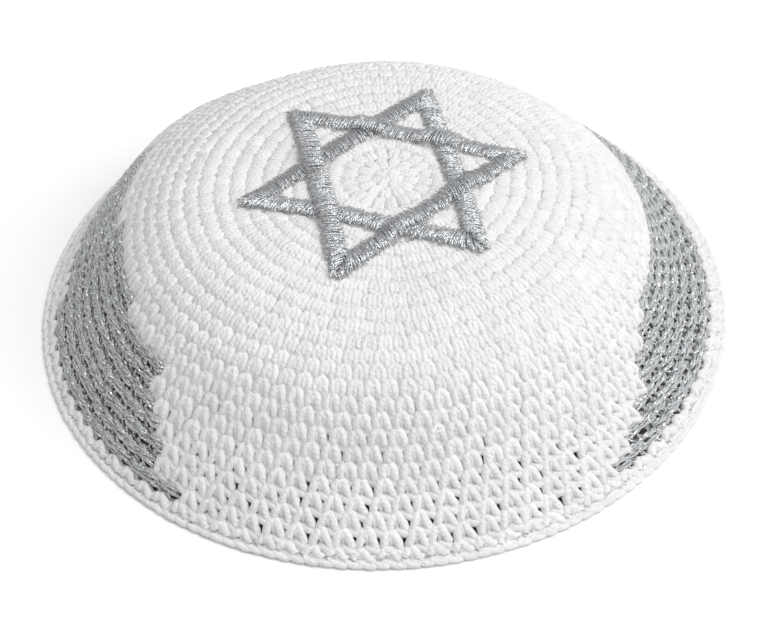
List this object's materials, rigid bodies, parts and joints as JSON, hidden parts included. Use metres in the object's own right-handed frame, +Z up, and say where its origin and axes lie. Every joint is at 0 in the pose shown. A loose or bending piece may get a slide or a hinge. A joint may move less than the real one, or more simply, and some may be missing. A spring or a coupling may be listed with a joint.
{
  "type": "kippah skullcap",
  "caption": "Round crocheted skullcap: a low white dome with silver side panels, an embroidered star on top and a slip-stitched rim.",
  "frame": {"origin": "middle of the rim, on the surface that the cap rests on", "axes": "+Z up through the crown, +Y away from the picture's camera, the silver panels towards -X and +X"},
  "size_m": [0.17, 0.17, 0.0428],
  "materials": {
    "white_yarn": "matte crocheted cotton",
    "silver_yarn": "glittering metallised yarn",
    "edging_yarn": "matte slip-stitched cotton",
    "silver_thread": "satin-stitched metallised thread"
  },
  "bodies": {
    "root": {"crown": "white_yarn", "left_silver_crescent": "silver_yarn", "right_silver_crescent": "silver_yarn", "rim_edging": "edging_yarn", "star_under_triangle": "silver_thread", "star_over_triangle": "silver_thread"}
  },
  "joints": []
}
